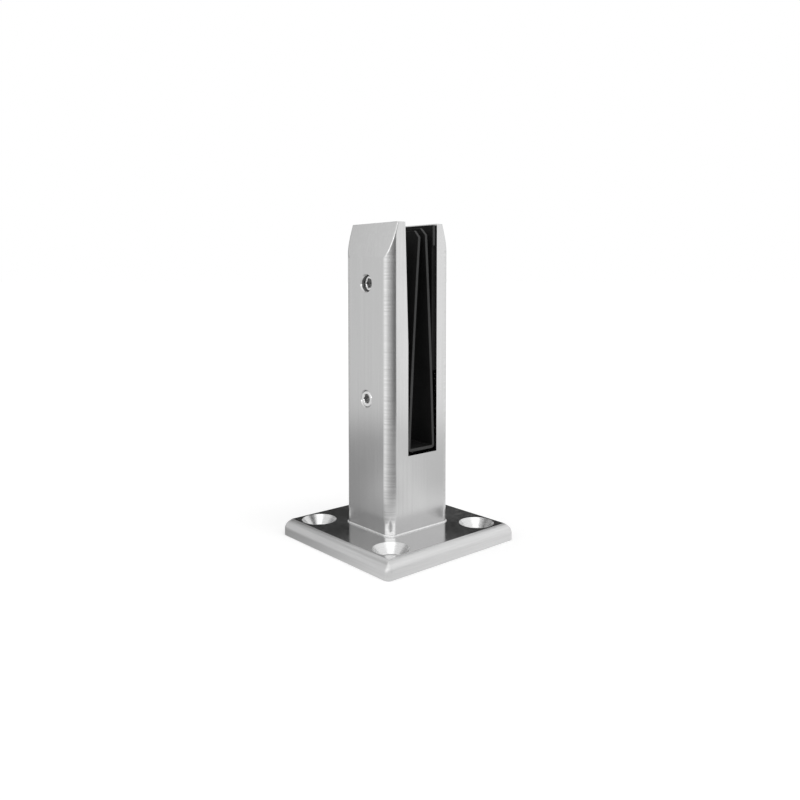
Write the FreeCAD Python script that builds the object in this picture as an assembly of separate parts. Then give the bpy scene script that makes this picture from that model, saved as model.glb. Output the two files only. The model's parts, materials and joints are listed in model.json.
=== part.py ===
"""Glass railing spigot: a slotted steel post on a bolted base plate clamps the foot of a glass panel.

Millimetres. X runs along the glass, Y across it and Z up. The set screws are in the -Y face, and the
origin is the middle of the base plate's underside.
"""
import FreeCAD, Part
import math
import os

Vector = FreeCAD.Vector

# Base plate, with four holes for countersunk bolts
base_side = 100.0
base_thickness = 10.0
base_corner_radius = 3.0
base_bevel_inset = 4.1
base_bevel_height = 3.2
base_top_corner_radius = 0.4
bolt_spacing = 68.0
bolt_hole_diameter = 11.0
countersink_diameter = 21.0
countersink_angle_deg = 90.0

# Post, measured from the base plate's top
post_width = 41.5
post_depth = 48.0
post_height = 180.0
post_corner_radius = 5.4
top_chamfer_inset = 6.4
top_chamfer_height = 20.0
weld_leg = 0.8
weld_edge = 0.15

# Slot through the post along X, with its walls measured from the post's middle
slot_depth = 135.0
slot_front = 9.6
slot_back = 13.0
slot_flare = 2.3
slot_flare_depth = 70.0

# Set screws, M10 with a 1.5 mm pitch, measured down from the post's top
screw_diameter = 10.0
screw_length = 8.8
screw_drop = 35.0
screw_spacing = 67.5
screw_fit = 0.05
screw_end_chamfer = 0.7
screw_tip_diameter = 5.0
screw_tip_gap = 0.2
hex_across_flats = 5.0
hex_depth = 4.0
hole_mouth_chamfer = 0.2

# Pressure plate, in a pocket of the front cheek behind the wall that the set screws go through
pressure_plate_width = 32.0
pressure_plate_thickness = 3.0
pressure_plate_reach = 10.0
pressure_plate_lean = 2.6
pocket_wall = 8.6
pocket_clearance = 0.3

# Rubber: a setting block on the slot's floor, and a channel for the glass that stands on it
block_thickness = 2.0
block_setback = 8.0
gasket_thickness = 1.8
gasket_bend_radius = 2.4
gasket_setback = 0.4
gasket_front_gap = 0.3
gasket_back_gap = 1.4
gasket_front_lean = 8.0
gasket_back_lean = 6.4
gasket_bow = 0.5
gasket_top_drop = 4.5
gasket_back_rise = 1.6
gasket_corner_cut = 3.9

# Rubber liner on the slot's back wall, held by a thin tape: its head is longer than the rest of it
tape_thickness = 0.8
liner_thickness = 2.0
liner_height = 86.0
liner_drop = 0.8
liner_setback = 1.4
liner_head_height = 12.0
liner_head_setback = 0.6

# How far a cutting tool reaches past the face that it leaves
run_out = 5.0

post_top = base_thickness + post_height
slot_floor = post_top - slot_depth
front_face = -post_depth / 2
screw_heights = {
    "upper": post_top - screw_drop,
    "lower": post_top - screw_drop - screw_spacing,
}
channel_foot = slot_floor + block_thickness
channel_top = post_top - gasket_top_drop
channel_front = -slot_front + gasket_front_gap
channel_back = slot_back - gasket_back_gap
pocket_floor = front_face + pocket_wall
plate_bottom = screw_heights["lower"] - pressure_plate_reach
plate_top = screw_heights["upper"] + pressure_plate_reach


def rounded_outline(width, depth, radius, height):
    """Closed wire of a rounded rectangle, centred on the Z axis, at one height."""
    x, y = width / 2, depth / 2
    inner_x, inner_y = x - radius, y - radius
    edges = []
    for turn in range(4):
        along, across = (x, inner_y) if turn % 2 == 0 else (y, inner_x)
        centre_along = along - radius
        half = radius * math.sqrt(0.5)
        points = [(along, -across), (along, across), (centre_along + half, across + half),
                  (centre_along, across + radius)]
        start, end, middle, next_start = [turned(point, turn, height) for point in points]
        edges.append(Part.LineSegment(start, end).toShape())
        edges.append(Part.Arc(end, middle, next_start).toShape())
    return Part.Wire(edges)


def turned(point, quarter_turns, height):
    """The point turned about Z by quarter turns, at one height."""
    x, y = point
    for _ in range(quarter_turns):
        x, y = -y, x
    return Vector(x, y, height)


def rounded_prism(width, depth, radius, low, high):
    return Part.Face(rounded_outline(width, depth, radius, low)).extrude(Vector(0, 0, high - low))


def tapered_prism(lower_wire, upper_wire):
    return Part.makeLoft([lower_wire, upper_wire], True, True)


def side_bar(length, start, *steps):
    """Bar along X with a YZ outline. A step is the end of a line, or the middle and the end of an arc."""
    def at(point):
        return Vector(-length / 2, *point)

    edges = []
    here = start
    for step in steps:
        if isinstance(step[0], tuple):
            middle, end = step
            edges.append(Part.Arc(at(here), at(middle), at(end)).toShape())
        else:
            end = step
            edges.append(Part.LineSegment(at(here), at(end)).toShape())
        here = end
    edges.append(Part.LineSegment(at(here), at(start)).toShape())
    return Part.Face(Part.Wire(edges)).extrude(Vector(length, 0, 0))


def block(x_range, y_range, z_range):
    spans = [high - low for low, high in (x_range, y_range, z_range)]
    return Part.makeBox(*spans, Vector(x_range[0], y_range[0], z_range[0]))


def bolt_places():
    half = bolt_spacing / 2
    return [Vector(x, y, 0) for x in (-half, half) for y in (-half, half)]


def countersunk_bore():
    """Clearance hole with a countersink that opens at the base plate's top."""
    hole_radius, mouth_radius = bolt_hole_diameter / 2, countersink_diameter / 2
    spread = math.tan(math.radians(countersink_angle_deg / 2))
    depth = (mouth_radius - hole_radius) / spread
    hole = Part.makeCylinder(hole_radius, base_thickness + 2 * run_out, Vector(0, 0, -run_out))
    cone = Part.makeCone(hole_radius, mouth_radius + run_out * spread, depth + run_out,
                         Vector(0, 0, base_thickness - depth))
    return hole.fuse(cone)


def base_plate():
    wall_top = base_thickness - base_bevel_height
    face_side = base_side - 2 * base_bevel_inset
    wall = rounded_prism(base_side, base_side, base_corner_radius, 0, wall_top)
    bevel = tapered_prism(rounded_outline(base_side, base_side, base_corner_radius, wall_top),
                          rounded_outline(face_side, face_side, base_top_corner_radius, base_thickness))
    plate = wall.fuse(bevel)
    for place in bolt_places():
        bore = countersunk_bore()
        bore.translate(place)
        plate = plate.cut(bore)
    return plate.removeSplitter()


def top_chamfer_tool(side):
    """Wedge that slopes the top of one cheek: side is -1 at the screws and +1 at the back."""
    face = side * post_depth / 2
    outside = face + side * run_out
    above = post_top + run_out
    crest = face - side * top_chamfer_inset
    foot = post_top - top_chamfer_height
    return side_bar(post_width + 2 * run_out, (face, foot), (crest, post_top), (crest, above),
                    (outside, above), (outside, foot))


def slot_tool():
    above = post_top + run_out
    flare_foot = post_top - slot_flare_depth
    flared = -slot_front - slot_flare
    return side_bar(post_width + 2 * run_out, (-slot_front, slot_floor), (-slot_front, flare_foot),
                    (flared, post_top), (flared, above), (slot_back, above), (slot_back, slot_floor))


def pocket_tool():
    half_width = pressure_plate_width / 2 + pocket_clearance
    return block((-half_width, half_width), (pocket_floor, 0),
                 (plate_bottom - pocket_clearance, plate_top + pocket_clearance))


def screw_hole_tool(height):
    """Tapped hole through the front cheek, with a chamfered mouth."""
    radius = screw_diameter / 2
    inwards = Vector(0, 1, 0)
    hole = Part.makeCylinder(radius, -front_face, Vector(0, front_face, height), inwards)
    mouth = Part.makeCone(radius + hole_mouth_chamfer, radius, hole_mouth_chamfer,
                          Vector(0, front_face, height), inwards)
    return hole.fuse(mouth)


def post_body():
    post = rounded_prism(post_width, post_depth, post_corner_radius, base_thickness, post_top)
    for side in (-1, 1):
        post = post.cut(top_chamfer_tool(side))
    post = post.cut(slot_tool()).cut(pocket_tool())
    for height in screw_heights.values():
        post = post.cut(screw_hole_tool(height))
    return post


def weld_bead():
    """Small fillet weld round the foot of the post."""
    def outline(leg, height):
        return rounded_outline(post_width + 2 * leg, post_depth + 2 * leg, post_corner_radius + leg, height)

    weld_top = base_thickness + weld_leg
    bead = tapered_prism(outline(weld_leg, base_thickness), outline(weld_edge, weld_top))
    return bead.cut(rounded_prism(post_width, post_depth, post_corner_radius, base_thickness, weld_top))


def plate_back_at(height):
    """Y of the pressure plate's screw side, which leans in towards its top."""
    climbed = (height - plate_bottom) / (plate_top - plate_bottom)
    return pocket_floor + pocket_clearance + pressure_plate_lean * climbed


def pressure_plate():
    back_low, back_high = plate_back_at(plate_bottom), plate_back_at(plate_top)
    return side_bar(pressure_plate_width, (back_low, plate_bottom), (back_high, plate_top),
                    (back_high + pressure_plate_thickness, plate_top),
                    (back_low + pressure_plate_thickness, plate_bottom))


def set_screw(height):
    """Set screw with a hex socket, seated on the pressure plate."""
    radius, tip_radius = screw_diameter / 2 - screw_fit, screw_tip_diameter / 2
    tip_start = screw_length - (radius - tip_radius)
    profile = [(0, 0), (radius - screw_end_chamfer, 0), (radius, screw_end_chamfer), (radius, tip_start),
               (tip_radius, screw_length), (0, screw_length), (0, 0)]
    half_section = Part.Face(Part.makePolygon([Vector(x, y, 0) for x, y in profile]))
    screw = half_section.revolve(Vector(0, 0, 0), Vector(0, 1, 0), 360)
    corner_radius = hex_across_flats / math.sqrt(3)
    angles = [math.radians(60 * corner) for corner in range(7)]
    corners = [Vector(math.cos(angle), 0, math.sin(angle)) * corner_radius for angle in angles]
    hexagon = Part.makePolygon(corners)
    screw = screw.cut(Part.Face(hexagon).extrude(Vector(0, hex_depth, 0)))
    screw.translate(Vector(0, plate_back_at(height) - screw_tip_gap - screw_length, height))
    return screw


def setting_block():
    half_length = post_width / 2 - block_setback
    return block((-half_length, half_length), (channel_front, channel_back), (slot_floor, channel_foot))


def glass_channel():
    """Bent rubber sheet whose two legs lean towards each other until a glass panel parts them."""
    length = post_width - 2 * gasket_setback
    front, back, foot = channel_front, channel_back, channel_foot
    thick, bend = gasket_thickness, gasket_bend_radius
    inner_bend = bend - thick
    corner = (1 - math.sqrt(0.5)) * bend
    inner_corner = thick + (1 - math.sqrt(0.5)) * inner_bend
    front_top, back_top = channel_top, channel_top + gasket_back_rise
    front_lip, back_lip = front + gasket_front_lean, back - gasket_back_lean
    front_half, back_half = (foot + front_top) / 2, (foot + back_top) / 2
    front_bow = (front + front_lip) / 2 - gasket_bow
    back_bow = (back + back_lip) / 2 + gasket_bow
    channel = side_bar(
        length, (front + bend, foot), ((front + corner, foot + corner), (front, foot + bend)),
        ((front_bow, front_half), (front_lip, front_top)), (front_lip + thick, front_top),
        ((front_bow + thick, front_half), (front + thick, foot + bend)),
        ((front + inner_corner, foot + inner_corner), (front + bend, foot + thick)),
        (back - bend, foot + thick),
        ((back - inner_corner, foot + inner_corner), (back - thick, foot + bend)),
        ((back_bow - thick, back_half), (back_lip - thick, back_top)), (back_lip, back_top),
        ((back_bow, back_half), (back, foot + bend)),
        ((back - corner, foot + corner), (back - bend, foot)))
    middle = (front + back) / 2
    for side in (-1, 1):
        for leg_range, leg_top in (((front, middle), front_top), ((middle, back), back_top)):
            channel = channel.cut(corner_cut_tool(side * length / 2, side, leg_range, leg_top))
    return channel


def corner_cut_tool(end, side, leg_range, leg_top):
    """Wedge that takes the top corner off one leg of the rubber channel at one end."""
    inside, outside = end - side * gasket_corner_cut, end + side * run_out
    low, above = leg_top - gasket_corner_cut, leg_top + run_out
    points = [(inside, leg_top), (end, low), (outside, low), (outside, above), (inside, above)]
    leg_front, leg_back = leg_range
    corners = [Vector(x, leg_front, z) for x, z in points]
    return Part.Face(Part.makePolygon(corners + corners[:1])).extrude(Vector(0, leg_back - leg_front, 0))


def wall_strip(setback, height, front, back):
    """Strip on the slot's back wall, between two distances from the wall."""
    half_length = post_width / 2 - setback
    top = post_top - liner_drop
    return block((-half_length, half_length), (slot_back - front, slot_back - back), (top - height, top))


def liner_tape():
    return wall_strip(liner_setback, liner_height, tape_thickness, 0)


def back_liner():
    front = tape_thickness + liner_thickness
    strip = wall_strip(liner_setback, liner_height, front, tape_thickness)
    head = wall_strip(liner_head_setback, liner_head_height, front, tape_thickness)
    return strip.fuse(head).removeSplitter()


def main():
    nodes = {
        "base_plate": base_plate(),
        "post_body": post_body(),
        "weld_bead": weld_bead(),
        "set_screw_upper": set_screw(screw_heights["upper"]),
        "set_screw_lower": set_screw(screw_heights["lower"]),
        "pressure_plate": pressure_plate(),
        "setting_block": setting_block(),
        "glass_channel": glass_channel(),
        "liner_tape": liner_tape(),
        "back_liner": back_liner(),
    }
    os.makedirs("parts", exist_ok=True)
    for name, shape in nodes.items():
        shape.exportStep(f"parts/{name}.step")
        print(f"{name}: {len(shape.Solids)} solid, {shape.Volume / 1000:.2f} cm3, valid {shape.isValid()}")


if __name__ == "__main__":
    main()
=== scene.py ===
import json
import math

import bmesh
import bpy
from mathutils import Matrix, Vector


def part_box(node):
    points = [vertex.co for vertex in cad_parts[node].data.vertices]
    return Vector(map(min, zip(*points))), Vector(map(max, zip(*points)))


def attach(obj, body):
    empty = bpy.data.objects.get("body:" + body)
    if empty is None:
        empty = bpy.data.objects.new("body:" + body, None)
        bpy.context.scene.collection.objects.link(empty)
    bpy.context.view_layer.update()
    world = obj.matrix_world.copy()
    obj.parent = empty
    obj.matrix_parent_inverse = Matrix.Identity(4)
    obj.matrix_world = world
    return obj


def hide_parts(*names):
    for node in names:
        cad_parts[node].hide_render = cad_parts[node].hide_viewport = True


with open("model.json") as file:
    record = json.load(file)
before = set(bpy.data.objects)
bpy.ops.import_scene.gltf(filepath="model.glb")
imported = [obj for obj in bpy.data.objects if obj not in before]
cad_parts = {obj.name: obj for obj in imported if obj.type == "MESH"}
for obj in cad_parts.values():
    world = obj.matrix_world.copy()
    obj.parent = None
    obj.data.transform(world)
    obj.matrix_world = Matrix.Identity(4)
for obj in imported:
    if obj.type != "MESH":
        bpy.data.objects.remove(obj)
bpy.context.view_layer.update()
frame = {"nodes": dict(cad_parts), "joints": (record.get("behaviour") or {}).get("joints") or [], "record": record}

# Glass railing spigot: satin steel post, polished base plate, threaded set screws and black rubber.
# X runs along the glass, Y across it and Z up, in metres.
MM = 0.001

# Base plate
BASE_CORNER = 3.0 * MM
BASE_BEVEL_INSET = 4.1 * MM
BASE_BEVEL_HEIGHT = 3.2 * MM
BASE_SHOULDER = 2.6 * MM
BASE_TOP_BREAK = 0.2 * MM
BASE_FOOT_BREAK = 0.35 * MM
COUNTERSINK_DIAMETER = 21.0 * MM
COUNTERSINK_SPREAD = 1.0
COUNTERSINK_BREAK = 0.6 * MM

# Post
POST_CORNER = 5.4 * MM
TOP_SLOPE_INSET = 6.4 * MM
TOP_SLOPE_HEIGHT = 20.0 * MM
TOP_EDGE_EASE = 0.6 * MM
TOP_CREASE_EASE = 0.02 * MM
TOP_CREASE_MARGIN = 0.1 * MM
TOP_ROW_HEIGHT = 0.75 * MM
TOP_ROWS = 36
CREST_LOOP_GAP = 0.5 * MM
CREST_LOOPS = 7
SETTLE_ROUNDS = 8
SLOT_FLOOR_HEIGHT = 55.0 * MM
SLOT_FRONT = -9.6 * MM
SLOT_BACK = 13.0 * MM
SLOT_FLARE = 2.3 * MM
SLOT_FLARE_DEPTH = 70.0 * MM
POCKET_FLOOR = -15.4 * MM
POCKET_CLEARANCE = 0.3 * MM
POST_EDGE_BREAK = 0.45 * MM
WELD_EDGE = 0.15 * MM

# Set screws and their tapped holes
SCREW_RADIUS = 4.95 * MM
THREAD_DEPTH = 0.8 * MM
THREAD_FIT = 0.06 * MM
THREAD_FLAT = 0.12
THREAD_ROWS_PER_TURN = 12
SCREW_END_CHAMFER = 0.7 * MM
SCREW_TIP_RADIUS = 2.5 * MM
HOLE_MOUTH_CHAMFER = 0.35 * MM
# Depth of each tapped hole's mouth that is left out of the painted shade
HOLE_BRIGHT_DEPTH = 1.0 * MM
HOLE_OVERRUN = 0.5 * MM
HEX_ACROSS_FLATS = 5.0 * MM
HEX_CORNER_RADIUS = HEX_ACROSS_FLATS / math.sqrt(3)
HEX_TURN_DEG = 30
HEX_DEPTH = 4.0 * MM
HEX_MOUTH = 0.12 * MM

# Cutting tools, rubber and sheet
RUN_OUT = 5.0 * MM
RUBBER_EDGE = 0.2 * MM
# Where the rubber's painted highlight reaches: ends beyond this along X, and ends and tops above the height below
RUBBER_HIGHLIGHT_REACH = 19.8 * MM
RUBBER_HIGHLIGHT_HEIGHT = 178.0 * MM
SHEET_EDGE = 0.15 * MM
NEAR_ENOUGH = 0.01 * MM

record = frame["record"]
joints = {joint["name"]: joint for joint in frame["joints"]}
bolts = next(mount["dims"] for mount in record["mounts"] if mount["name"] == "base_bolts")
bolt_place = Vector((bolts["spacing_x_mm"], bolts["spacing_y_mm"], 0)) * MM / 2
thread_pitch = 2 * math.pi / record["behaviour"]["couplings"][0]["ratio"]
base_low, base_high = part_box("base_plate")
post_low, post_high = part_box("post_body")
crease_height = post_high.z - TOP_SLOPE_HEIGHT
screw_heights = [joints[name]["pos_m"][2] for name in ("upper_screw_turn", "lower_screw_turn")]


# Mesh helpers

def block(low, high):
    """Box between two corners."""
    low, high = Vector(low), Vector(high)
    bm = bmesh.new()
    bmesh.ops.create_cube(bm, size=1.0)
    bmesh.ops.scale(bm, vec=high - low, verts=bm.verts)
    bmesh.ops.translate(bm, vec=(low + high) / 2, verts=bm.verts)
    return bm


def round_over(bm, edges, radius, segments):
    """Round some edges of a mesh."""
    bmesh.ops.bevel(bm, geom=edges, offset=radius, offset_type="OFFSET", affect="EDGES", segments=segments,
                    profile=0.5, material=-1, clamp_overlap=True)


def upright_edges(bm):
    return [edge for edge in bm.edges if abs(edge.verts[0].co.z - edge.verts[1].co.z) > 1 * MM]


def top_face(bm):
    return max(bm.faces, key=lambda face: face.calc_center_median().z)


def sharp_edges(bm, least_angle_deg, wanted):
    """Edges that turn by more than the angle, with both ends in a wanted place."""
    least = math.radians(least_angle_deg)
    return [edge for edge in bm.edges
            if len(edge.link_faces) == 2 and edge.calc_face_angle() > least
            and all(wanted(vert.co) for vert in edge.verts)]


def add_loop(bm, point, normal):
    """Cut a loop of edges across the whole mesh."""
    bmesh.ops.bisect_plane(bm, geom=bm.verts[:] + bm.edges[:] + bm.faces[:], dist=0.0001 * MM, plane_co=point,
                           plane_no=normal)


def bar_along_x(outline, half_length):
    """Straight bar along X with an outline of (y, z) points."""
    bm = bmesh.new()
    face = bm.faces.new([bm.verts.new((-half_length, y, z)) for y, z in outline])
    swept = bmesh.ops.extrude_face_region(bm, geom=[face])["geom"]
    far = [item for item in swept if isinstance(item, bmesh.types.BMVert)]
    bmesh.ops.translate(bm, vec=(2 * half_length, 0, 0), verts=far)
    bmesh.ops.recalc_face_normals(bm, faces=bm.faces)
    return bm


def turned_body(profile, steps):
    """Solid of revolution about Z. The profile is (radius, height) points from pole to pole."""
    bm = bmesh.new()
    verts = [bm.verts.new((radius, 0, height)) for radius, height in profile]
    edges = [bm.edges.new(pair) for pair in zip(verts, verts[1:])]
    bmesh.ops.spin(bm, geom=verts + edges, cent=(0, 0, 0), axis=(0, 0, 1), angle=2 * math.pi, steps=steps,
                   use_merge=True)
    bmesh.ops.remove_doubles(bm, verts=bm.verts, dist=0.001 * MM)
    bmesh.ops.recalc_face_normals(bm, faces=bm.faces)
    return bm


def loose_object(name, bm):
    """Object in the scene from a mesh under construction, which is used up."""
    mesh = bpy.data.meshes.new(name)
    bm.to_mesh(mesh)
    bm.free()
    made = bpy.data.objects.new(name, mesh)
    bpy.context.scene.collection.objects.link(made)
    return made


def cut_away(bm, tool):
    """The piece with the tool's form taken out of it."""
    blank, cutter = loose_object("blank", bm), loose_object("cutter", tool)
    cut = blank.modifiers.new("cut", "BOOLEAN")
    cut.operation, cut.solver, cut.object = "DIFFERENCE", "EXACT", cutter
    bpy.context.view_layer.update()
    mesh = bpy.data.meshes.new_from_object(blank.evaluated_get(bpy.context.evaluated_depsgraph_get()))
    result = bmesh.new()
    result.from_mesh(mesh)
    for used in (blank, cutter):
        bpy.data.objects.remove(used)
    bpy.data.meshes.remove(mesh)
    return result


def finished_piece(name, bm, body, materials, node, smooth_angle_deg=38):
    """Piece that stands for a node, with smooth rounds and even flats."""
    made = loose_object(name, bm)
    for material in materials:
        made.data.materials.append(material)
    made.data.shade_smooth()
    made.data.set_sharp_from_angle(angle=math.radians(smooth_angle_deg))
    even = made.modifiers.new("even flats", "WEIGHTED_NORMAL")
    even.keep_sharp = True
    even.weight = 100
    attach(made, body)
    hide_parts(node)
    return made


# Material helpers

def new_material(name):
    """Material with a Principled shader: (material, nodes, links, shader)."""
    material = bpy.data.materials.new(name)
    material.use_nodes = True
    tree = material.node_tree
    return material, tree.nodes, tree.links, tree.nodes["Principled BSDF"]


def math_node(nodes, links, operation, first, second):
    """Result of a Math node: each input is a socket or a number."""
    made = nodes.new("ShaderNodeMath")
    made.operation = operation
    for socket, value in zip(made.inputs, (first, second)):
        if isinstance(value, (int, float)):
            socket.default_value = value
        else:
            links.new(value, socket)
    return made.outputs[0]


def ranged(nodes, links, value, start, end, low, high):
    """Value from start to end spread over a new range."""
    made = nodes.new("ShaderNodeMapRange")
    for name, number in zip(("From Min", "From Max", "To Min", "To Max"), (start, end, low, high)):
        made.inputs[name].default_value = number
    links.new(value, made.inputs["Value"])
    return made.outputs["Result"]


def spread(nodes, links, value, low, high):
    """Noise, which stays near 0.25 to 0.75, spread over a new range."""
    return ranged(nodes, links, value, 0.25, 0.75, low, high)


def grey_mix(nodes, links, factor, low, high):
    """Grey between two tones."""
    made = nodes.new("ShaderNodeMix")
    made.data_type = "RGBA"
    made.inputs["A"].default_value = (low, low, low, 1)
    made.inputs["B"].default_value = (high, high, high, 1)
    links.new(factor, made.inputs["Factor"])
    return made.outputs["Result"]


def streak_group():
    """Belt streaks: a fine pattern stretched by its per-axis scale, and slow smudges over it."""
    group = bpy.data.node_groups.new("belt_streaks", "ShaderNodeTree")
    for name, kind in (("Scale", "NodeSocketVector"), ("Smudge Scale", "NodeSocketFloat")):
        group.interface.new_socket(name, in_out="INPUT", socket_type=kind)
    for name in ("Streaks", "Fine", "Smudges"):
        group.interface.new_socket(name, in_out="OUTPUT", socket_type="NodeSocketFloat")
    nodes, links = group.nodes, group.links
    inputs, outputs = nodes.new("NodeGroupInput"), nodes.new("NodeGroupOutput")
    place = nodes.new("ShaderNodeTexCoord")
    stretch = nodes.new("ShaderNodeVectorMath")
    stretch.operation = "MULTIPLY"
    links.new(place.outputs["Object"], stretch.inputs[0])
    links.new(inputs.outputs["Scale"], stretch.inputs[1])
    coarse = nodes.new("ShaderNodeTexNoise")
    coarse.inputs["Scale"].default_value = 1.0
    coarse.inputs["Detail"].default_value = 3.0
    coarse.inputs["Roughness"].default_value = 0.6
    fine = nodes.new("ShaderNodeTexNoise")
    fine.inputs["Scale"].default_value = 5.0
    fine.inputs["Detail"].default_value = 2.0
    for noise in (coarse, fine):
        links.new(stretch.outputs[0], noise.inputs["Vector"])
    smudge = nodes.new("ShaderNodeTexNoise")
    smudge.inputs["Detail"].default_value = 2.0
    links.new(place.outputs["Object"], smudge.inputs["Vector"])
    links.new(inputs.outputs["Smudge Scale"], smudge.inputs["Scale"])
    links.new(coarse.outputs["Fac"], outputs.inputs["Streaks"])
    links.new(fine.outputs["Fac"], outputs.inputs["Fine"])
    links.new(smudge.outputs["Fac"], outputs.inputs["Smudges"])
    return group


belt_streaks = streak_group()
SMUDGE_ROUGHNESS = 0.025


def streaks_in(nodes, scale, smudge_scale):
    """The streak group's outputs, for one material."""
    made = nodes.new("ShaderNodeGroup")
    made.node_tree = belt_streaks
    made.inputs["Scale"].default_value = scale
    made.inputs["Smudge Scale"].default_value = smudge_scale
    return made.outputs


def raise_surface(nodes, links, shader, height, distance):
    """Bump of a height in metres."""
    raised = nodes.new("ShaderNodeBump")
    raised.inputs["Distance"].default_value = distance
    links.new(height, raised.inputs["Height"])
    links.new(raised.outputs["Normal"], shader.inputs["Normal"])


def belt_steel(name, scale, tone, roughness, bump, smudge_scale=30.0):
    """Steel with streaks: tone and roughness are (low, high), and bump is the streaks' height in metres."""
    material, nodes, links, shader = new_material(name)
    shader.inputs["Metallic"].default_value = 1.0
    streaks = streaks_in(nodes, scale, smudge_scale)
    shade = grey_mix(nodes, links, spread(nodes, links, streaks["Streaks"], 0.0, 1.0), *tone)
    links.new(shade, shader.inputs["Base Color"])
    rough_fine = spread(nodes, links, streaks["Fine"], *roughness)
    rough_slow = spread(nodes, links, streaks["Smudges"], -SMUDGE_ROUGHNESS, SMUDGE_ROUGHNESS)
    links.new(math_node(nodes, links, "ADD", rough_fine, rough_slow), shader.inputs["Roughness"])
    raise_surface(nodes, links, shader, streaks["Fine"], bump)
    return material


def turned_steel(name, tone, roughness, bump):
    """Bright steel with the rings of a countersinking tool round each bolt hole."""
    material, nodes, links, shader = new_material(name)
    shader.inputs["Metallic"].default_value = 1.0
    place = nodes.new("ShaderNodeTexCoord")
    folded = nodes.new("ShaderNodeVectorMath")
    folded.operation = "ABSOLUTE"
    links.new(place.outputs["Object"], folded.inputs[0])
    centred = nodes.new("ShaderNodeVectorMath")
    centred.operation = "SUBTRACT"
    centred.inputs[1].default_value = bolt_place
    links.new(folded.outputs[0], centred.inputs[0])
    flat = nodes.new("ShaderNodeVectorMath")
    flat.operation = "MULTIPLY"
    flat.inputs[1].default_value = (1, 1, 0)
    links.new(centred.outputs[0], flat.inputs[0])
    radius = nodes.new("ShaderNodeVectorMath")
    radius.operation = "LENGTH"
    links.new(flat.outputs[0], radius.inputs[0])
    rings = nodes.new("ShaderNodeTexNoise")
    rings.noise_dimensions = "1D"
    rings.inputs["Scale"].default_value = 2600.0
    rings.inputs["Detail"].default_value = 2.0
    links.new(radius.outputs["Value"], rings.inputs["W"])
    ring_mark = rings.outputs["Fac"]
    shade = grey_mix(nodes, links, spread(nodes, links, ring_mark, 0.0, 1.0), *tone)
    links.new(shade, shader.inputs["Base Color"])
    links.new(spread(nodes, links, ring_mark, *roughness), shader.inputs["Roughness"])
    raise_surface(nodes, links, shader, ring_mark, bump)
    return material


def rubber(name, tone, sheen):
    """Black rubber with a fine grain: tone is (low, high)."""
    material, nodes, links, shader = new_material(name)
    shader.inputs["Specular IOR Level"].default_value = sheen
    streaks = streaks_in(nodes, (700, 700, 700), 60.0)
    shade = grey_mix(nodes, links, spread(nodes, links, streaks["Smudges"], 0.0, 1.0), *tone)
    links.new(shade, shader.inputs["Base Color"])
    links.new(spread(nodes, links, streaks["Streaks"], 0.5, 0.72), shader.inputs["Roughness"])
    raise_surface(nodes, links, shader, streaks["Streaks"], 0.05 * MM)
    return material


post_satin = belt_steel("post_satin", (1100, 1100, 14), (0.6, 0.64), (0.17, 0.24), 0.0014 * MM)
corner_sanded = belt_steel("corner_sanded", (40, 40, 1200), (0.53, 0.69), (0.13, 0.19), 0.003 * MM)
# Painted shade: nearly black steel on the tapped holes' walls, for the shade inside them
hole_painted_shade = belt_steel("hole_painted_shade", (500, 500, 500), (0.06, 0.12), (0.3, 0.45), 0.004 * MM)
base_satin = belt_steel("base_satin", (35, 35, 1300), (0.62, 0.69), (0.34, 0.44), 0.003 * MM)
base_polish = belt_steel("base_polish", (60, 60, 60), (0.56, 0.6), (0.07, 0.11), 0.0003 * MM)
countersink_turned = turned_steel("countersink_turned", (0.66, 0.74), (0.2, 0.3), 0.002 * MM)
weld_polish = belt_steel("weld_polish", (400, 400, 400), (0.72, 0.8), (0.22, 0.32), 0.01 * MM)
screw_plain = belt_steel("screw_plain", (500, 500, 500), (0.78, 0.86), (0.1, 0.16), 0.003 * MM)
# Painted shade: a darker steel inside the hex sockets, for the shade in them
socket_painted_shade = belt_steel("socket_painted_shade", (500, 500, 500), (0.45, 0.55), (0.3, 0.45), 0.003 * MM)
plate_rolled = belt_steel("plate_rolled", (60, 900, 60), (0.5, 0.6), (0.28, 0.4), 0.003 * MM)
black_rubber = rubber("black_rubber", (0.006, 0.012), 0.12)
# Painted highlight: a greyer rubber on the ends and top edges that catch the light
rubber_painted_highlight = rubber("rubber_painted_highlight", (0.036, 0.052), 0.25)


# Base plate

def bolt_bore():
    """Clearance hole with a countersink that opens at the base plate's top."""
    hole = bolts["hole_r_mm"] * MM
    mouth = COUNTERSINK_DIAMETER / 2
    top = base_high.z
    foot = top - (mouth - hole) / COUNTERSINK_SPREAD
    below, above = base_low.z - RUN_OUT, top + RUN_OUT
    wide = mouth + RUN_OUT * COUNTERSINK_SPREAD
    profile = [(0, below), (hole, below), (hole, foot), (wide, above), (0, above)]
    return turned_body(profile, steps=72)


def base_blank():
    """Plate whose rounded wall runs up into a bevel that meets the top at sharp corners."""
    wall_top = base_high.z - BASE_BEVEL_HEIGHT
    bm = block(base_low, (base_high.x, base_high.y, wall_top))
    round_over(bm, upright_edges(bm), BASE_CORNER, 10)
    top = top_face(bm)
    bmesh.ops.inset_region(bm, faces=[top], thickness=0.0, depth=BASE_BEVEL_HEIGHT)
    reach = base_high.x - BASE_BEVEL_INSET
    for vert in top_face(bm).verts:
        vert.co.x = min(reach, max(-reach, vert.co.x))
        vert.co.y = min(reach, max(-reach, vert.co.y))
    bmesh.ops.remove_doubles(bm, verts=bm.verts, dist=NEAR_ENOUGH)
    shoulder = [edge for edge in bm.edges
                if all(abs(vert.co.z - wall_top) < NEAR_ENOUGH for vert in edge.verts)]
    round_over(bm, shoulder, BASE_SHOULDER, 6)
    return bm


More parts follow.
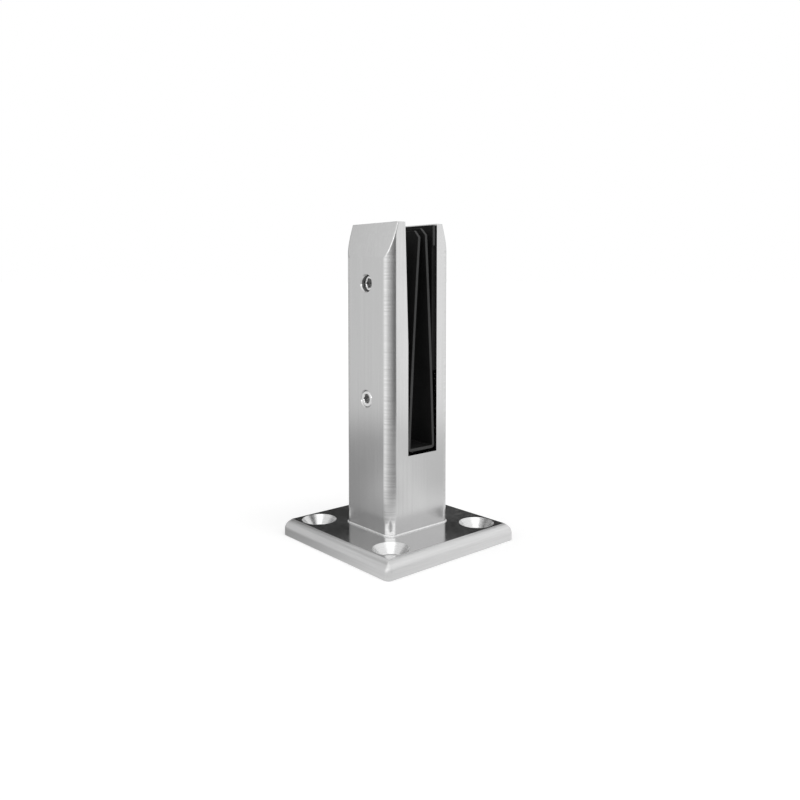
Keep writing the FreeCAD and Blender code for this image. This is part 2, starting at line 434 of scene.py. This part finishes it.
def in_countersink(place):
    """True within the rim of any countersink."""
    from_bolt = Vector((abs(place.x), abs(place.y))) - bolt_place.xy
    return from_bolt.length < COUNTERSINK_DIAMETER / 2 + NEAR_ENOUGH


def base_plate():
    bm = base_blank()
    for x in (-1, 1):
        for y in (-1, 1):
            bore = bolt_bore()
            bmesh.ops.translate(bore, vec=bolt_place * Vector((x, y, 0)), verts=bore.verts)
            bm = cut_away(bm, bore)
    on_top = base_high.z - NEAR_ENOUGH
    outer_rim = sharp_edges(bm, 25, lambda place: place.z > on_top and not in_countersink(place))
    round_over(bm, outer_rim, BASE_TOP_BREAK, 3)
    hole_rims = sharp_edges(bm, 25, lambda place: place.z > on_top and in_countersink(place))
    round_over(bm, hole_rims, COUNTERSINK_BREAK, 3)
    outside = base_high.x - BASE_CORNER
    foot_rim = sharp_edges(bm, 60, lambda place: place.z < NEAR_ENOUGH and max(map(abs, place.xy)) > outside)
    round_over(bm, foot_rim, BASE_FOOT_BREAK, 2)
    for face in bm.faces:
        if in_countersink(face.calc_center_median()):
            face.material_index = 2
        else:
            face.material_index = 1 if face.normal.z > 0.999 else 0
    finished_piece("base_plate_dressed", bm, "spigot",
                   (base_satin, base_polish, countersink_turned), "base_plate")


# Post

def slope_reach(height):
    """How far the sloped top reaches from the post's middle along Y at one height."""
    climbed = height - crease_height
    return post_high.y - TOP_SLOPE_INSET * climbed / TOP_SLOPE_HEIGHT


def outside_walls(place):
    """Distance outside the post's rounded walls, and the way out of them."""
    over = Vector((abs(place.x), abs(place.y))) - post_high.xy + Vector((POST_CORNER, POST_CORNER))
    if min(over) > 0:
        out, distance = over.normalized(), over.length - POST_CORNER
    else:
        out = Vector((1, 0)) if over.x > over.y else Vector((0, 1))
        distance = max(over) - POST_CORNER
    return distance, Vector((math.copysign(out.x, place.x), math.copysign(out.y, place.y)))


def eased_larger(first, second, ease):
    """The larger of two distances with the corner between them eased, and each one's share in it."""
    lesser_share = max(0.0, ease - abs(first - second)) / (2 * ease)
    larger = max(first, second) + ease * lesser_share ** 2
    shares = (1 - lesser_share, lesser_share)
    return larger, shares if first > second else shares[::-1]


def settle_on_top(place):
    """Bring a point of the straight post onto the sloped top, whose edges are eased."""
    reach = slope_reach(place.z)
    steepness = math.cos(math.atan2(TOP_SLOPE_INSET, TOP_SLOPE_HEIGHT))
    place.y = math.copysign(min(abs(place.y), reach), place.y)
    for _ in range(SETTLE_ROUNDS):
        wall, out = outside_walls(place)
        slope = (abs(place.y) - reach) * steepness
        ease = TOP_CREASE_EASE + (TOP_EDGE_EASE - TOP_CREASE_EASE) * out.x ** 2
        distance, (wall_share, slope_share) = eased_larger(wall, slope, ease)
        push = out * wall_share + Vector((0, math.copysign(steepness, place.y))) * slope_share
        place.xy -= push * (distance / push.length_squared)


def post_blank():
    """Rounded post with a sloped top on two sides."""
    bm = block(post_low, post_high)
    round_over(bm, upright_edges(bm), POST_CORNER, 16)
    for row in range(1, TOP_ROWS + 1):
        add_loop(bm, (0, 0, post_high.z - row * TOP_ROW_HEIGHT), (0, 0, 1))
    add_loop(bm, (0, 0, crease_height), (0, 0, 1))
    crease_end = post_high.x - POST_CORNER - TOP_CREASE_MARGIN
    for side in (-1, 1):
        add_loop(bm, (side * crease_end, 0, 0), (1, 0, 0))
    crest = slope_reach(post_high.z)
    for step in range(CREST_LOOPS):
        for side in (-1, 1):
            add_loop(bm, (0, side * (crest + (1 - step) * CREST_LOOP_GAP), 0), (0, 1, 0))
    for vert in bm.verts:
        settle_on_top(vert.co)
    bmesh.ops.remove_doubles(bm, verts=bm.verts, dist=NEAR_ENOUGH)
    return bm


def slot_form():
    """Form of the slot for the glass, whose front wall flares towards the top."""
    above = post_high.z + RUN_OUT
    flare_foot = post_high.z - SLOT_FLARE_DEPTH
    flared = SLOT_FRONT - SLOT_FLARE
    outline = [(SLOT_FRONT, SLOT_FLOOR_HEIGHT), (SLOT_FRONT, flare_foot), (flared, post_high.z),
               (flared, above), (SLOT_BACK, above), (SLOT_BACK, SLOT_FLOOR_HEIGHT)]
    return bar_along_x(outline, post_high.x + RUN_OUT)


def pocket_form():
    """Form of the pocket in the front cheek, with room round the pressure plate."""
    low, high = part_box("pressure_plate")
    room = POCKET_CLEARANCE
    return block((low.x - room, POCKET_FLOOR, low.z - room), (high.x + room, 0, high.z + room))


def thread_drop(along, turn):
    """How deep the right-hand thread's groove is at one place, from 0 on the crest to 1 at the root."""
    phase = (along / thread_pitch - turn) % 1.0
    slope = 1.0 - abs(2.0 * phase - 1.0)
    return min(1.0, max(0.0, (slope - THREAD_FLAT) / (1.0 - 2 * THREAD_FLAT)))


def threaded_rod(start, end, height, radius_at):
    """Threaded rod along Y: radius_at gives the radius for a place along it and a depth of groove."""
    rows = math.ceil((end - start) / thread_pitch * THREAD_ROWS_PER_TURN)
    stops = [start + (end - start) * row / rows for row in range(rows + 1)]
    profile = [(0, start)] + [(SCREW_RADIUS, stop) for stop in stops] + [(0, end)]
    bm = turned_body(profile, steps=48)
    bmesh.ops.rotate(bm, cent=(0, 0, 0), matrix=Matrix.Rotation(-math.pi / 2, 3, "X"), verts=bm.verts)
    for vert in bm.verts:
        across = Vector((vert.co.x, 0, vert.co.z))
        if across.length > SCREW_RADIUS / 2:
            turn = math.atan2(vert.co.x, vert.co.z) / (2 * math.pi)
            radius = radius_at(vert.co.y, thread_drop(vert.co.y, turn))
            vert.co = across.normalized() * radius + Vector((0, vert.co.y, 0))
    bmesh.ops.translate(bm, vec=(0, 0, height), verts=bm.verts)
    bmesh.ops.recalc_face_normals(bm, faces=bm.faces)
    return bm


def tapped_hole_form(height):
    """Form of a tapped hole through the front cheek, with a chamfered mouth."""
    face = post_low.y

    def radius_at(along, drop):
        thread = SCREW_RADIUS + THREAD_FIT - THREAD_DEPTH * drop
        mouth = SCREW_RADIUS + THREAD_FIT + HOLE_MOUTH_CHAMFER - (along - face)
        return max(thread, mouth)

    return threaded_rod(face - HOLE_OVERRUN, POCKET_FLOOR + HOLE_OVERRUN, height, radius_at)


def post_edge(place):
    """True on the outer edges that are broken by hand: the slot's ends and the top."""
    on_end = abs(abs(place.x) - post_high.x) < NEAR_ENOUGH and place.z > SLOT_FLOOR_HEIGHT - NEAR_ENOUGH
    return on_end or abs(place.z - post_high.z) < NEAR_ENOUGH


def on_crease(place):
    """True on the crisp line where the sloped top starts."""
    return abs(place.z - crease_height) < NEAR_ENOUGH and abs(place.y) > post_high.y - NEAR_ENOUGH


def post_finish(face):
    """Index of a face's material: 0 on the flats, 1 on the rounded corners and 2 on the tapped holes' walls past
    their mouths, a painted shade.
    """
    place, normal = face.calc_center_median(), face.normal
    front_wall = post_low.y + HOLE_BRIGHT_DEPTH < place.y < POCKET_FLOOR - NEAR_ENOUGH
    hole_reach = SCREW_RADIUS + 2 * HOLE_MOUTH_CHAMFER
    if front_wall and any(math.hypot(place.x, place.z - height) < hole_reach for height in screw_heights):
        return 2
    in_corner = abs(place.x) > post_high.x - POST_CORNER and abs(place.y) > post_high.y - POST_CORNER
    return 1 if in_corner and min(abs(normal.x), abs(normal.y)) > 0.05 else 0


def post_body():
    bm = cut_away(post_blank(), slot_form())
    bm = cut_away(bm, pocket_form())
    for height in screw_heights:
        bm = cut_away(bm, tapped_hole_form(height))
    round_over(bm, sharp_edges(bm, 40, post_edge), POST_EDGE_BREAK, 3)
    for face in bm.faces:
        face.material_index = post_finish(face)
    made = finished_piece("post_body_dressed", bm, "spigot",
                          (post_satin, corner_sanded, hole_painted_shade), "post_body")
    places = [vert.co for vert in made.data.vertices]
    for edge in made.data.edges:
        if all(on_crease(places[end]) for end in edge.vertices):
            edge.use_edge_sharp = True


def weld_bead():
    """Hollow fillet of weld round the post's foot, dressed smooth."""
    low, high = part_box("weld_bead")
    leg = high.x - post_high.x
    steps = 6
    bm = block(low, high + Vector((0, 0, RUN_OUT)))
    round_over(bm, upright_edges(bm), POST_CORNER + leg, 16)
    for vert in top_face(bm).verts:
        vert.co.z = low.z + WELD_EDGE
    rise = high.z - low.z - WELD_EDGE
    done_in, done_up = 0.0, 0.0
    for step in range(1, steps + 1):
        angle = math.pi / 2 * step / steps
        reach_in, reach_up = (leg - WELD_EDGE) * math.sin(angle), rise * (1 - math.cos(angle))
        bmesh.ops.inset_region(bm, faces=[top_face(bm)], thickness=reach_in - done_in,
                               depth=reach_up - done_up, use_even_offset=True)
        done_in, done_up = reach_in, reach_up
    core = block((post_low.x, post_low.y, low.z - RUN_OUT), (post_high.x, post_high.y, high.z + RUN_OUT))
    round_over(core, upright_edges(core), POST_CORNER, 16)
    bm = cut_away(bm, core)
    finished_piece("weld_bead_dressed", bm, "spigot", (weld_polish,), "weld_bead")


# Set screws

def hex_socket_form(end, height):
    """Form of the hex socket in a screw's outer end."""
    bm = bmesh.new()
    turn = Matrix.Rotation(math.radians(HEX_TURN_DEG), 4, "Y") @ Matrix.Rotation(-math.pi / 2, 4, "X")
    place = Matrix.Translation((0, end + HEX_DEPTH, height)) @ turn
    bmesh.ops.create_circle(bm, cap_ends=True, segments=6, radius=HEX_CORNER_RADIUS, matrix=place)
    swept = bmesh.ops.extrude_face_region(bm, geom=bm.faces[:])["geom"]
    far = [item for item in swept if isinstance(item, bmesh.types.BMVert)]
    bmesh.ops.translate(bm, vec=(0, -HEX_DEPTH - RUN_OUT, 0), verts=far)
    bmesh.ops.recalc_face_normals(bm, faces=bm.faces)
    return bm


def cone_form(end, height, radius):
    """Cone that breaks the socket's mouth."""
    bm = turned_body([(0, -RUN_OUT), (radius + RUN_OUT, -RUN_OUT), (0, radius)], steps=48)
    bmesh.ops.rotate(bm, cent=(0, 0, 0), matrix=Matrix.Rotation(-math.pi / 2, 3, "X"), verts=bm.verts)
    bmesh.ops.translate(bm, vec=(0, end, height), verts=bm.verts)
    return bm


def set_screw(name):
    """Threaded set screw with a hex socket, a chamfered end and a cone tip."""
    low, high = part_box(name)
    height = (low.z + high.z) / 2
    tip_start = high.y - (SCREW_RADIUS - SCREW_TIP_RADIUS)

    def radius_at(along, drop):
        thread = SCREW_RADIUS - THREAD_DEPTH * drop
        outer_chamfer = SCREW_RADIUS - SCREW_END_CHAMFER + (along - low.y)
        tip = SCREW_RADIUS - max(0.0, along - tip_start)
        return min(thread, outer_chamfer, tip)

    bm = threaded_rod(low.y, high.y, height, radius_at)
    bm = cut_away(bm, hex_socket_form(low.y, height))
    bm = cut_away(bm, cone_form(low.y, height, HEX_CORNER_RADIUS + HEX_MOUTH))
    # Faces inside the hex socket, past its mouth, get the painted shade
    socket_start, socket_end = low.y + 2 * HEX_MOUTH, low.y + HEX_DEPTH + NEAR_ENOUGH
    for face in bm.faces:
        place = face.calc_center_median()
        in_reach = math.hypot(place.x, place.z - height) < HEX_CORNER_RADIUS
        face.material_index = 1 if in_reach and socket_start < place.y < socket_end else 0
    finished_piece(f"{name}_dressed", bm, name, (screw_plain, socket_painted_shade), name,
                   smooth_angle_deg=32)


# Rubber and plates in the slot

def gets_painted_highlight(face):
    """True on the rubber's ends and top edges near its top and at the slot's mouth, which get a painted highlight:
    a greyer tone where light catches them.
    """
    place, normal = face.calc_center_median(), face.normal
    near_top = place.z > RUBBER_HIGHLIGHT_HEIGHT
    on_end = abs(normal.x) > 0.5 and (near_top or abs(place.x) > RUBBER_HIGHLIGHT_REACH)
    return on_end or (near_top and normal.z > 0.5)


def softened_copy(node, edge_break, body, materials):
    """Copy of a node's solid with its sharp edges broken. A second material is a painted highlight on the ends and
    top edges that catch the light.
    """
    bm = bmesh.new()
    bm.from_mesh(frame["nodes"][node].data)
    bmesh.ops.remove_doubles(bm, verts=bm.verts, dist=0.001 * MM)
    bmesh.ops.dissolve_limit(bm, angle_limit=math.radians(0.5), verts=bm.verts, edges=bm.edges)
    round_over(bm, sharp_edges(bm, 40, lambda place: True), edge_break, 2)
    for face in bm.faces:
        face.material_index = 1 if len(materials) > 1 and gets_painted_highlight(face) else 0
    finished_piece(f"{node}_dressed", bm, body, materials, node)


base_plate()
post_body()
weld_bead()
for screw in ("set_screw_upper", "set_screw_lower"):
    set_screw(screw)
# The channel and back liner get the painted highlight on their lit ends and top edges
for strip in ("glass_channel", "back_liner"):
    softened_copy(strip, RUBBER_EDGE, "spigot", (black_rubber, rubber_painted_highlight))
softened_copy("setting_block", RUBBER_EDGE, "spigot", (black_rubber,))
softened_copy("liner_tape", SHEET_EDGE, "spigot", (black_rubber,))
softened_copy("pressure_plate", SHEET_EDGE, "pressure_plate", (plate_rolled,))


# Studio: white floor and surroundings, and a tent of soft panels that only reflections see

TENT_RADIUS = 3.0
TENT_HEIGHT = 6.0
TENT_FLOOR_HEIGHT = 0.4 * MM
BRIGHTEST = 3.0
FLOOR_RADIUS = 40.0
FLOOR_TONES = (0.8, 0.82)
FLOOR_LIFT = 0.27
SURROUNDINGS_LIGHT = 0.6
SURROUNDINGS_SHOWN = 1.0

# Levels of the tent by azimuth, in degrees from the screws' side towards the slot's end at +X
NEAR_FLOOR = [(0, 0.6), (30, 0.78), (60, 0.9), (131, 1.0), (170, 0.95), (220, 0.7), (270, 0.55), (300, 0.36),
              (317, 0.38), (340, 0.5)]
MIDDLE_FLOOR = [(0, 1.0), (20, 0.8), (40, 0.64), (60, 0.52), (80, 0.46), (108, 0.44), (117, 0.6), (123, 1.1),
                (129, 0.72), (160, 0.82), (220, 0.75), (270, 0.55), (300, 0.38), (315, 0.39),
                (330, 0.95), (345, 1.1)]
HORIZON = [(0, 1.15), (20, 0.88), (40, 0.68), (60, 0.5), (80, 0.34), (100, 0.24), (123, 0.22), (127, 1.4),
           (134, 1.1), (170, 1.1), (200, 0.75), (290, 0.72), (311, 0.8), (330, 1.15), (345, 1.25)]
MIDDLE = [(0, 2.7), (105, 2.7), (118, 1.2), (150, 1.05), (185, 0.5), (205, 0.04), (255, 0.04), (268, 0.3),
          (285, 0.36), (328, 0.36), (342, 1.7)]
HIGH = [(0, 1.0), (20, 1.15), (90, 1.15), (120, 1.1), (200, 1.0), (212, 0.5), (222, 0.35), (238, 0.35),
        (250, 0.4), (262, 0.4), (278, 0.44), (294, 0.55), (303, 0.94), (325, 0.93), (345, 0.9)]

# Radii where the floor's rings meet and heights where the wall's bands meet, in metres
NEAR_REACH, RING_START, RING_END, FAR_REACH = 0.085, 0.15, 0.32, 0.47
LOW_TOP, MIDDLE_FOOT, MIDDLE_TOP, HIGH_FOOT = 0.72, 0.86, 1.08, 1.16


def only_in_reflections(made):
    """Stage piece that only reflections see."""
    made.visible_camera = False
    made.visible_diffuse = False
    made.visible_shadow = False
    made.visible_volume_scatter = False


def emission_material(name):
    """Glowing material: (material, nodes, links, glow)."""
    material = bpy.data.materials.new(name)
    material.use_nodes = True
    nodes, links = material.node_tree.nodes, material.node_tree.links
    nodes.remove(nodes["Principled BSDF"])
    glow = nodes.new("ShaderNodeEmission")
    links.new(glow.outputs[0], nodes["Material Output"].inputs["Surface"])
    material.cycles.emission_sampling = "NONE"
    return material, nodes, links, glow


def place_axes(nodes, links):
    """Sockets of the place: X, Y and Z."""
    place = nodes.new("ShaderNodeTexCoord")
    axes = nodes.new("ShaderNodeSeparateXYZ")
    links.new(place.outputs["Object"], axes.inputs[0])
    return axes.outputs["X"], axes.outputs["Y"], axes.outputs["Z"]


def azimuth_turn(nodes, links, x, y):
    """Azimuth from 0 to 1, counted from the screws' side."""
    ahead = math_node(nodes, links, "MULTIPLY", y, -1.0)
    angle = math_node(nodes, links, "ARCTAN2", x, ahead)
    turns = math_node(nodes, links, "MULTIPLY", angle, 1 / (2 * math.pi))
    return math_node(nodes, links, "FLOORED_MODULO", turns, 1.0)


def azimuth_ramp(nodes, links, turn, levels):
    """Level of light by azimuth, as a share of the brightest."""
    ramp = nodes.new("ShaderNodeValToRGB")
    ramp.color_ramp.interpolation = "LINEAR"
    stops = ramp.color_ramp.elements
    stops.remove(stops[-1])
    for index, (azimuth_deg, level) in enumerate(levels + [(360, levels[0][1])]):
        stop = stops[0] if index == 0 else stops.new(azimuth_deg / 360)
        stop.position = azimuth_deg / 360
        share = level / BRIGHTEST
        stop.color = (share, share, share, 1)
    links.new(turn, ramp.inputs["Fac"])
    return ramp.outputs["Color"]


def blended(nodes, links, factor, first, second):
    """Colour between two others."""
    made = nodes.new("ShaderNodeMix")
    made.data_type = "RGBA"
    links.new(factor, made.inputs["Factor"])
    links.new(first, made.inputs["A"])
    links.new(second, made.inputs["B"])
    return made.outputs["Result"]


def tent_wall():
    """Round wall of soft panels, in three bands."""
    bm = bmesh.new()
    ends = [bm.verts.new((TENT_RADIUS, 0, z)) for z in (0, TENT_HEIGHT)]
    edge = bm.edges.new(ends)
    bmesh.ops.spin(bm, geom=ends + [edge], cent=(0, 0, 0), axis=(0, 0, 1), angle=2 * math.pi, steps=72,
                   use_merge=True)
    wall = loose_object("tent_wall", bm)
    material, nodes, links, glow = emission_material("tent_wall_light")
    x, y, z = place_axes(nodes, links)
    turn = azimuth_turn(nodes, links, x, y)
    low, middle, high = [azimuth_ramp(nodes, links, turn, levels) for levels in (HORIZON, MIDDLE, HIGH)]
    lower = blended(nodes, links, ranged(nodes, links, z, LOW_TOP, MIDDLE_FOOT, 0, 1), low, middle)
    whole = blended(nodes, links, ranged(nodes, links, z, MIDDLE_TOP, HIGH_FOOT, 0, 1), lower, high)
    links.new(whole, glow.inputs["Color"])
    glow.inputs["Strength"].default_value = BRIGHTEST
    wall.data.materials.append(material)
    only_in_reflections(wall)


def tent_floor():
    """Disc of soft panels round the part, in three rings."""
    bm = bmesh.new()
    bmesh.ops.create_circle(bm, cap_ends=True, segments=72, radius=TENT_RADIUS,
                            matrix=Matrix.Translation((0, 0, TENT_FLOOR_HEIGHT)))
    disc = loose_object("tent_floor", bm)
    material, nodes, links, glow = emission_material("tent_floor_light")
    x, y, _ = place_axes(nodes, links)
    turn = azimuth_turn(nodes, links, x, y)
    near, middle, far = [azimuth_ramp(nodes, links, turn, levels)
                         for levels in (NEAR_FLOOR, MIDDLE_FLOOR, HORIZON)]
    squares = [math_node(nodes, links, "MULTIPLY", axis, axis) for axis in (x, y)]
    radius = math_node(nodes, links, "POWER", math_node(nodes, links, "ADD", *squares), 0.5)
    inner = blended(nodes, links, ranged(nodes, links, radius, NEAR_REACH, RING_START, 0, 1), near, middle)
    whole = blended(nodes, links, ranged(nodes, links, radius, RING_END, FAR_REACH, 0, 1), inner, far)
    links.new(whole, glow.inputs["Color"])
    glow.inputs["Strength"].default_value = BRIGHTEST
    disc.data.materials.append(material)
    only_in_reflections(disc)


def plain_panel(name, place, size, turn_deg, level):
    """Flat panel overhead that faces down."""
    bm = bmesh.new()
    where = Matrix.Translation(place) @ Matrix.Rotation(math.radians(turn_deg), 4, "Z")
    bmesh.ops.create_grid(bm, x_segments=1, y_segments=1, size=0.5,
                          matrix=where @ Matrix.Diagonal((size[0], size[1], 1, 1)))
    panel = loose_object(name, bm)
    material, _, _, glow = emission_material(f"{name}_light")
    glow.inputs["Strength"].default_value = level
    panel.data.materials.append(material)
    only_in_reflections(panel)


def shown_rays(nodes, links):
    """1 for rays that see the white surroundings themselves: from the camera, in metal and through glass."""
    path = nodes.new("ShaderNodeLightPath")
    first = math_node(nodes, links, "MAXIMUM", path.outputs["Is Camera Ray"], path.outputs["Is Glossy Ray"])
    return math_node(nodes, links, "MAXIMUM", first, path.outputs["Is Transmission Ray"])


def floor():
    """Wide pale floor, lifted to white where it is seen."""
    bm = bmesh.new()
    bmesh.ops.create_circle(bm, cap_ends=True, segments=64, radius=FLOOR_RADIUS)
    ground = loose_object("floor", bm)
    material, nodes, links, shader = new_material("pale_floor")
    nodes.remove(shader)
    matt = nodes.new("ShaderNodeBsdfDiffuse")
    noise = nodes.new("ShaderNodeTexNoise")
    noise.inputs["Scale"].default_value = 40.0
    place = nodes.new("ShaderNodeTexCoord")
    links.new(place.outputs["Object"], noise.inputs["Vector"])
    links.new(grey_mix(nodes, links, noise.outputs["Fac"], *FLOOR_TONES), matt.inputs["Color"])
    glow = nodes.new("ShaderNodeEmission")
    lift = math_node(nodes, links, "MULTIPLY", shown_rays(nodes, links), FLOOR_LIFT)
    links.new(lift, glow.inputs["Strength"])
    both = nodes.new("ShaderNodeAddShader")
    links.new(matt.outputs[0], both.inputs[0])
    links.new(glow.outputs[0], both.inputs[1])
    links.new(both.outputs[0], nodes["Material Output"].inputs["Surface"])
    ground.data.materials.append(material)


def surroundings():
    """White all round, which lights the part softly."""
    world = bpy.data.worlds.new("white_studio")
    world.use_nodes = True
    nodes, links = world.node_tree.nodes, world.node_tree.links
    shown = shown_rays(nodes, links)
    level = ranged(nodes, links, shown, 0, 1, SURROUNDINGS_LIGHT, SURROUNDINGS_SHOWN)
    links.new(level, nodes["Background"].inputs["Strength"])
    nodes["Background"].inputs["Color"].default_value = (1, 1, 1, 1)
    bpy.context.scene.world = world


def soft_sun(name, azimuth_deg, elevation_deg, strength, spread_deg):
    """Soft far lamp that reflections don't show. Its azimuth counts as the tent's does."""
    lamp = bpy.data.lights.new(name, "SUN")
    lamp.energy = strength
    lamp.angle = math.radians(spread_deg)
    made = bpy.data.objects.new(name, lamp)
    azimuth, elevation = math.radians(azimuth_deg), math.radians(elevation_deg)
    source = Vector((math.sin(azimuth) * math.cos(elevation), -math.cos(azimuth) * math.cos(elevation),
                     math.sin(elevation)))
    made.rotation_mode = "QUATERNION"
    made.rotation_quaternion = (-source).to_track_quat("-Z", "Y")
    made.visible_glossy = False
    bpy.context.scene.collection.objects.link(made)


CAMERA_YAW_DEG = 48.8

tent_wall()
tent_floor()
plain_panel("tent_ceiling", place=(0, 0, TENT_HEIGHT), size=(2 * TENT_RADIUS, 2 * TENT_RADIUS),
            turn_deg=0, level=0.8)
plain_panel("overhead_softbox", place=(2.05, -0.77, 0.95 * TENT_HEIGHT), size=(5.3, 2.7),
            turn_deg=CAMERA_YAW_DEG, level=1.7)
floor()
surroundings()
soft_sun("right_sun", azimuth_deg=100, elevation_deg=52, strength=0.9, spread_deg=50)
soft_sun("left_sun", azimuth_deg=330, elevation_deg=55, strength=0.6, spread_deg=60)


# Camera at the photograph's place

CAMERA_PLACE = Vector((345.6, -300.32, 157.23)) * MM
CAMERA_PITCH_DEG = 3.05
CAMERA_LENS = 34.257
CAMERA_SHIFT = -0.1

camera = bpy.data.objects.new("camera", bpy.data.cameras.new("camera"))
camera.data.sensor_width = 36.0
camera.data.lens = CAMERA_LENS
camera.data.shift_y = CAMERA_SHIFT
camera.data.clip_start = 0.01
camera.location = CAMERA_PLACE
camera.rotation_euler = (math.radians(90 - CAMERA_PITCH_DEG), 0, math.radians(CAMERA_YAW_DEG))
bpy.context.scene.collection.objects.link(camera)
bpy.context.scene.camera = camera
bpy.context.scene.view_settings.view_transform = "Standard"
